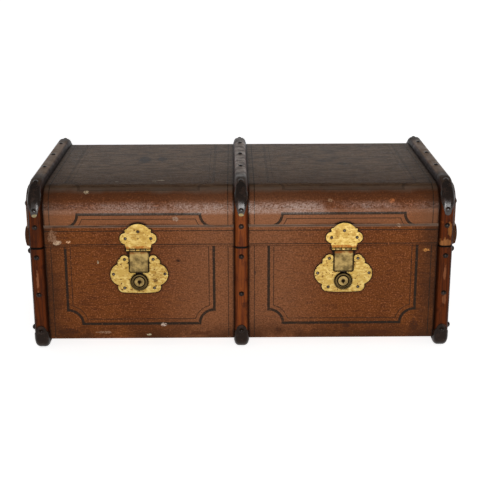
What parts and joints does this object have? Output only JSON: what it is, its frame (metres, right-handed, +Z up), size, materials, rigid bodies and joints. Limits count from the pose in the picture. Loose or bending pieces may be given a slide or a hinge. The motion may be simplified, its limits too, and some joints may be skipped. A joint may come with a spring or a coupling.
{
  "type": "cabin trunk",
  "caption": "Cloth-covered wooden cabin trunk with bent-wood hoops, iron clips and nails, a hinged lid, brass hasp locks and leather end handles.",
  "frame": {"origin": "middle of the footprint, on the surface that the trunk stands on", "axes": "+Z up, X along the front from left to right, the front faces -Y"},
  "size_m": [0.9826, 0.5282, 0.379],
  "materials": {
    "leathercloth": "grained coated cloth, worn",
    "deal_board": "plain deal board",
    "lining_paper": "aged lining paper",
    "bent_wood": "stained and varnished bent wood, rubbed",
    "black_iron": "black japanned iron, rubbed",
    "stamped_brass": "stamped brass, spotted",
    "dull_brass": "tarnished brass",
    "lock_steel": "grey steel",
    "handle_leather": "harness leather, handled"
  },
  "bodies": {
    "base": {"base_covering": "leathercloth", "base_box": "deal_board", "base_lining": "lining_paper", "base_hoop_left": "bent_wood", "base_hoop_middle": "bent_wood", "base_hoop_right": "bent_wood", "base_front_clips": "black_iron", "base_back_clips": "black_iron", "base_hoop_nails": "black_iron", "base_end_studs": "black_iron", "lock_plate_left": "stamped_brass", "lock_plate_right": "stamped_brass", "lock_case_left": "lock_steel", "lock_case_right": "lock_steel", "lock_barrel_left": "dull_brass", "lock_barrel_right": "dull_brass", "lock_plate_nails": "lock_steel", "hinge_leaves_base": "black_iron", "hinge_pins": "black_iron", "handle_strap_left": "handle_leather", "handle_strap_right": "handle_leather", "handle_caps_left": "black_iron", "handle_caps_right": "black_iron", "handle_cap_nails": "black_iron"},
    "lid": {"lid_covering": "leathercloth", "lid_box": "deal_board", "lid_lining": "lining_paper", "lid_hoop_left": "bent_wood", "lid_hoop_middle": "bent_wood", "lid_hoop_right": "bent_wood", "lid_front_clips": "black_iron", "lid_back_clips": "black_iron", "lid_hoop_nails": "black_iron", "lid_end_studs": "black_iron", "lid_rim_front": "leathercloth", "lid_rim_back": "leathercloth", "lid_rim_left": "leathercloth", "lid_rim_right": "leathercloth", "hasp_plate_left": "stamped_brass", "hasp_plate_right": "stamped_brass", "hasp_pin_left": "lock_steel", "hasp_pin_right": "lock_steel", "hasp_plate_nails": "lock_steel", "hinge_leaves_lid": "black_iron"},
    "hasp_left": {"hasp_left": "dull_brass", "hasp_staple_left": "lock_steel"},
    "key_plug_left": {"key_plug_left": "dull_brass"},
    "bolt_left": {"lock_bolt_left": "lock_steel"},
    "hasp_right": {"hasp_right": "dull_brass", "hasp_staple_right": "lock_steel"},
    "key_plug_right": {"key_plug_right": "dull_brass"},
    "bolt_right": {"lock_bolt_right": "lock_steel"}
  },
  "joints": [
    {"name": "lid_hinge", "type": "hinge", "parent": "base", "child": "lid", "pos_m": [0, 0.2482, 0.23385], "axis": [-1, 0, 0], "range_deg": [0, 100]},
    {"name": "hasp_left_hinge", "type": "hinge", "parent": "lid", "child": "hasp_left", "pos_m": [-0.222, -0.24725, 0.22555], "axis": [-1, 0, 0], "range_deg": [0, 145]},
    {"name": "key_left_turn", "type": "hinge", "parent": "base", "child": "key_plug_left", "pos_m": [-0.222, -0.244, 0.15225], "axis": [0, -1, 0], "range_deg": [0, 90]},
    {"name": "bolt_left_slide", "type": "slide", "parent": "base", "child": "bolt_left", "axis": [-1, 0, 0], "range_m": [0, 0.008]},
    {"name": "hasp_right_hinge", "type": "hinge", "parent": "lid", "child": "hasp_right", "pos_m": [0.222, -0.24725, 0.22555], "axis": [-1, 0, 0], "range_deg": [0, 145]},
    {"name": "key_right_turn", "type": "hinge", "parent": "base", "child": "key_plug_right", "pos_m": [0.222, -0.244, 0.15225], "axis": [0, -1, 0], "range_deg": [0, 90]},
    {"name": "bolt_right_slide", "type": "slide", "parent": "base", "child": "bolt_right", "axis": [-1, 0, 0], "range_m": [0, 0.008]}
  ],
  "couplings": [
    {"joint": "bolt_left_slide", "follows": "key_left_turn", "m_per_rad": 0.005093},
    {"joint": "bolt_right_slide", "follows": "key_right_turn", "m_per_rad": 0.005093}
  ]
}
